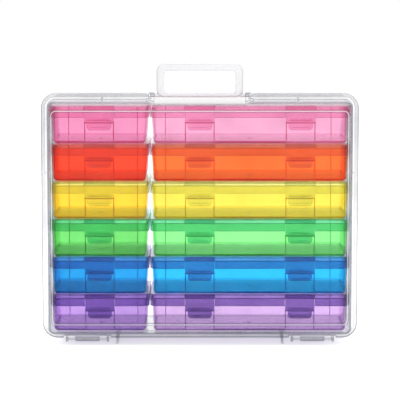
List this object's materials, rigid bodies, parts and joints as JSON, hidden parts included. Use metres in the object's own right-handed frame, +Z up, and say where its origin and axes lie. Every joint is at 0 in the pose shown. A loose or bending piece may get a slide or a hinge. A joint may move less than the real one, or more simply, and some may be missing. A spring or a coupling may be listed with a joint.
{
  "type": "storage case",
  "caption": "Clear carry case with a hinged front lid and loop handle, holding rows of tinted snap-lid boxes that slide out to sort craft supplies and small parts.",
  "frame": {"origin": "on the table, under the middle of the case's bounding box", "axes": "+X to the right along the case, +Y from the front lid to the back, +Z up"},
  "size_m": [0.3782, 0.1306, 0.34],
  "materials": {
    "clear_plastic": "clear gloss",
    "handle_plastic": "milky satin",
    "pin_plastic": "natural satin",
    "pink_tray": "tinted translucent gloss",
    "pink_lid": "tinted translucent gloss",
    "red_tray": "tinted translucent gloss",
    "red_lid": "tinted translucent gloss",
    "yellow_tray": "tinted translucent gloss",
    "yellow_lid": "tinted translucent gloss",
    "green_tray": "tinted translucent gloss",
    "green_lid": "tinted translucent gloss",
    "blue_tray": "tinted translucent gloss",
    "blue_lid": "tinted translucent gloss",
    "purple_tray": "tinted translucent gloss",
    "purple_lid": "tinted translucent gloss"
  },
  "bodies": {
    "rear_case": {"rear_shell": "clear_plastic", "left_hinge_pin": "pin_plastic", "right_hinge_pin": "pin_plastic"},
    "front_cover": {"front_lid": "clear_plastic"},
    "handle": {"carry_handle": "handle_plastic"},
    "pink_small_box": {"pink_small_tray": "pink_tray", "pink_small_lid": "pink_lid"},
    "pink_small_latch_flap": {"pink_small_latch": "pink_lid"},
    "pink_large_box": {"pink_large_tray": "pink_tray", "pink_large_lid": "pink_lid"},
    "pink_large_left_latch_flap": {"pink_large_left_latch": "pink_lid"},
    "pink_large_right_latch_flap": {"pink_large_right_latch": "pink_lid"},
    "red_small_box": {"red_small_tray": "red_tray", "red_small_lid": "red_lid"},
    "red_small_latch_flap": {"red_small_latch": "red_lid"},
    "red_large_box": {"red_large_tray": "red_tray", "red_large_lid": "red_lid"},
    "red_large_left_latch_flap": {"red_large_left_latch": "red_lid"},
    "red_large_right_latch_flap": {"red_large_right_latch": "red_lid"},
    "yellow_small_box": {"yellow_small_tray": "yellow_tray", "yellow_small_lid": "yellow_lid"},
    "yellow_small_latch_flap": {"yellow_small_latch": "yellow_lid"},
    "yellow_large_box": {"yellow_large_tray": "yellow_tray", "yellow_large_lid": "yellow_lid"},
    "yellow_large_left_latch_flap": {"yellow_large_left_latch": "yellow_lid"},
    "yellow_large_right_latch_flap": {"yellow_large_right_latch": "yellow_lid"},
    "green_small_box": {"green_small_tray": "green_tray", "green_small_lid": "green_lid"},
    "green_small_latch_flap": {"green_small_latch": "green_lid"},
    "green_large_box": {"green_large_tray": "green_tray", "green_large_lid": "green_lid"},
    "green_large_left_latch_flap": {"green_large_left_latch": "green_lid"},
    "green_large_right_latch_flap": {"green_large_right_latch": "green_lid"},
    "blue_small_box": {"blue_small_tray": "blue_tray", "blue_small_lid": "blue_lid"},
    "blue_small_latch_flap": {"blue_small_latch": "blue_lid"},
    "blue_large_box": {"blue_large_tray": "blue_tray", "blue_large_lid": "blue_lid"},
    "blue_large_left_latch_flap": {"blue_large_left_latch": "blue_lid"},
    "blue_large_right_latch_flap": {"blue_large_right_latch": "blue_lid"},
    "purple_small_box": {"purple_small_tray": "purple_tray", "purple_small_lid": "purple_lid"},
    "purple_small_latch_flap": {"purple_small_latch": "purple_lid"},
    "purple_large_box": {"purple_large_tray": "purple_tray", "purple_large_lid": "purple_lid"},
    "purple_large_left_latch_flap": {"purple_large_left_latch": "purple_lid"},
    "purple_large_right_latch_flap": {"purple_large_right_latch": "purple_lid"}
  },
  "joints": [
    {"name": "front_lid_hinge", "type": "hinge", "parent": "rear_case", "child": "front_cover", "pos_m": [0, -0.0398, 0.008], "axis": [1, 0, 0], "range_deg": [0, 180]},
    {"name": "handle_pivot", "type": "hinge", "parent": "rear_case", "child": "handle", "pos_m": [0, -0.0308, 0.3015], "axis": [1, 0, 0], "range_deg": [-90, 90]},
    {"name": "pink_small_slide", "type": "slide", "parent": "rear_case", "child": "pink_small_box", "axis": [0, -1, 0], "range_m": [0, 0.136]},
    {"name": "pink_small_latch_flex", "type": "hinge", "parent": "pink_small_box", "child": "pink_small_latch_flap", "pos_m": [-0.1199, -0.0485, 0.2893], "axis": [-1, 0, 0], "range_deg": [0, 20]},
    {"name": "pink_large_slide", "type": "slide", "parent": "rear_case", "child": "pink_large_box", "axis": [0, -1, 0], "range_m": [0, 0.136]},
    {"name": "pink_large_left_latch_flex", "type": "hinge", "parent": "pink_large_box", "child": "pink_large_left_latch_flap", "pos_m": [-0.0001, -0.0485, 0.2893], "axis": [-1, 0, 0], "range_deg": [0, 20]},
    {"name": "pink_large_right_latch_flex", "type": "hinge", "parent": "pink_large_box", "child": "pink_large_right_latch_flap", "pos_m": [0.1199, -0.0485, 0.2893], "axis": [-1, 0, 0], "range_deg": [0, 20]},
    {"name": "red_small_slide", "type": "slide", "parent": "rear_case", "child": "red_small_box", "axis": [0, -1, 0], "range_m": [0, 0.136]},
    {"name": "red_small_latch_flex", "type": "hinge", "parent": "red_small_box", "child": "red_small_latch_flap", "pos_m": [-0.1199, -0.0485, 0.244], "axis": [-1, 0, 0], "range_deg": [0, 20]},
    {"name": "red_large_slide", "type": "slide", "parent": "rear_case", "child": "red_large_box", "axis": [0, -1, 0], "range_m": [0, 0.136]},
    {"name": "red_large_left_latch_flex", "type": "hinge", "parent": "red_large_box", "child": "red_large_left_latch_flap", "pos_m": [-0.0001, -0.0485, 0.244], "axis": [-1, 0, 0], "range_deg": [0, 20]},
    {"name": "red_large_right_latch_flex", "type": "hinge", "parent": "red_large_box", "child": "red_large_right_latch_flap", "pos_m": [0.1199, -0.0485, 0.244], "axis": [-1, 0, 0], "range_deg": [0, 20]},
    {"name": "yellow_small_slide", "type": "slide", "parent": "rear_case", "child": "yellow_small_box", "axis": [0, -1, 0], "range_m": [0, 0.136]},
    {"name": "yellow_small_latch_flex", "type": "hinge", "parent": "yellow_small_box", "child": "yellow_small_latch_flap", "pos_m": [-0.1199, -0.0485, 0.1987], "axis": [-1, 0, 0], "range_deg": [0, 20]},
    {"name": "yellow_large_slide", "type": "slide", "parent": "rear_case", "child": "yellow_large_box", "axis": [0, -1, 0], "range_m": [0, 0.136]},
    {"name": "yellow_large_left_latch_flex", "type": "hinge", "parent": "yellow_large_box", "child": "yellow_large_left_latch_flap", "pos_m": [-0.0001, -0.0485, 0.1987], "axis": [-1, 0, 0], "range_deg": [0, 20]},
    {"name": "yellow_large_right_latch_flex", "type": "hinge", "parent": "yellow_large_box", "child": "yellow_large_right_latch_flap", "pos_m": [0.1199, -0.0485, 0.1987], "axis": [-1, 0, 0], "range_deg": [0, 20]},
    {"name": "green_small_slide", "type": "slide", "parent": "rear_case", "child": "green_small_box", "axis": [0, -1, 0], "range_m": [0, 0.136]},
    {"name": "green_small_latch_flex", "type": "hinge", "parent": "green_small_box", "child": "green_small_latch_flap", "pos_m": [-0.1199, -0.0485, 0.1534], "axis": [-1, 0, 0], "range_deg": [0, 20]},
    {"name": "green_large_slide", "type": "slide", "parent": "rear_case", "child": "green_large_box", "axis": [0, -1, 0], "range_m": [0, 0.136]},
    {"name": "green_large_left_latch_flex", "type": "hinge", "parent": "green_large_box", "child": "green_large_left_latch_flap", "pos_m": [-0.0001, -0.0485, 0.1534], "axis": [-1, 0, 0], "range_deg": [0, 20]},
    {"name": "green_large_right_latch_flex", "type": "hinge", "parent": "green_large_box", "child": "green_large_right_latch_flap", "pos_m": [0.1199, -0.0485, 0.1534], "axis": [-1, 0, 0], "range_deg": [0, 20]},
    {"name": "blue_small_slide", "type": "slide", "parent": "rear_case", "child": "blue_small_box", "axis": [0, -1, 0], "range_m": [0, 0.136]},
    {"name": "blue_small_latch_flex", "type": "hinge", "parent": "blue_small_box", "child": "blue_small_latch_flap", "pos_m": [-0.1199, -0.0485, 0.1081], "axis": [-1, 0, 0], "range_deg": [0, 20]},
    {"name": "blue_large_slide", "type": "slide", "parent": "rear_case", "child": "blue_large_box", "axis": [0, -1, 0], "range_m": [0, 0.136]},
    {"name": "blue_large_left_latch_flex", "type": "hinge", "parent": "blue_large_box", "child": "blue_large_left_latch_flap", "pos_m": [-0.0001, -0.0485, 0.1081], "axis": [-1, 0, 0], "range_deg": [0, 20]},
    {"name": "blue_large_right_latch_flex", "type": "hinge", "parent": "blue_large_box", "child": "blue_large_right_latch_flap", "pos_m": [0.1199, -0.0485, 0.1081], "axis": [-1, 0, 0], "range_deg": [0, 20]},
    {"name": "purple_small_slide", "type": "slide", "parent": "rear_case", "child": "purple_small_box", "axis": [0, -1, 0], "range_m": [0, 0.136]},
    {"name": "purple_small_latch_flex", "type": "hinge", "parent": "purple_small_box", "child": "purple_small_latch_flap", "pos_m": [-0.1199, -0.0485, 0.0628], "axis": [-1, 0, 0], "range_deg": [0, 20]},
    {"name": "purple_large_slide", "type": "slide", "parent": "rear_case", "child": "purple_large_box", "axis": [0, -1, 0], "range_m": [0, 0.136]},
    {"name": "purple_large_left_latch_flex", "type": "hinge", "parent": "purple_large_box", "child": "purple_large_left_latch_flap", "pos_m": [-0.0001, -0.0485, 0.0628], "axis": [-1, 0, 0], "range_deg": [0, 20]},
    {"name": "purple_large_right_latch_flex", "type": "hinge", "parent": "purple_large_box", "child": "purple_large_right_latch_flap", "pos_m": [0.1199, -0.0485, 0.0628], "axis": [-1, 0, 0], "range_deg": [0, 20]}
  ],
  "couplings": [
    {"joint": "pink_small_slide", "follows": "front_lid_hinge", "m_per_rad": 0.042972},
    {"joint": "pink_large_slide", "follows": "front_lid_hinge", "m_per_rad": 0.042972},
    {"joint": "red_small_slide", "follows": "front_lid_hinge", "m_per_rad": 0.042972},
    {"joint": "red_large_slide", "follows": "front_lid_hinge", "m_per_rad": 0.042972},
    {"joint": "yellow_small_slide", "follows": "front_lid_hinge", "m_per_rad": 0.042972},
    {"joint": "yellow_large_slide", "follows": "front_lid_hinge", "m_per_rad": 0.042972},
    {"joint": "green_small_slide", "follows": "front_lid_hinge", "m_per_rad": 0.042972},
    {"joint": "green_large_slide", "follows": "front_lid_hinge", "m_per_rad": 0.042972},
    {"joint": "blue_small_slide", "follows": "front_lid_hinge", "m_per_rad": 0.042972},
    {"joint": "blue_large_slide", "follows": "front_lid_hinge", "m_per_rad": 0.042972},
    {"joint": "purple_small_slide", "follows": "front_lid_hinge", "m_per_rad": 0.042972},
    {"joint": "purple_large_slide", "follows": "front_lid_hinge", "m_per_rad": 0.042972}
  ]
}
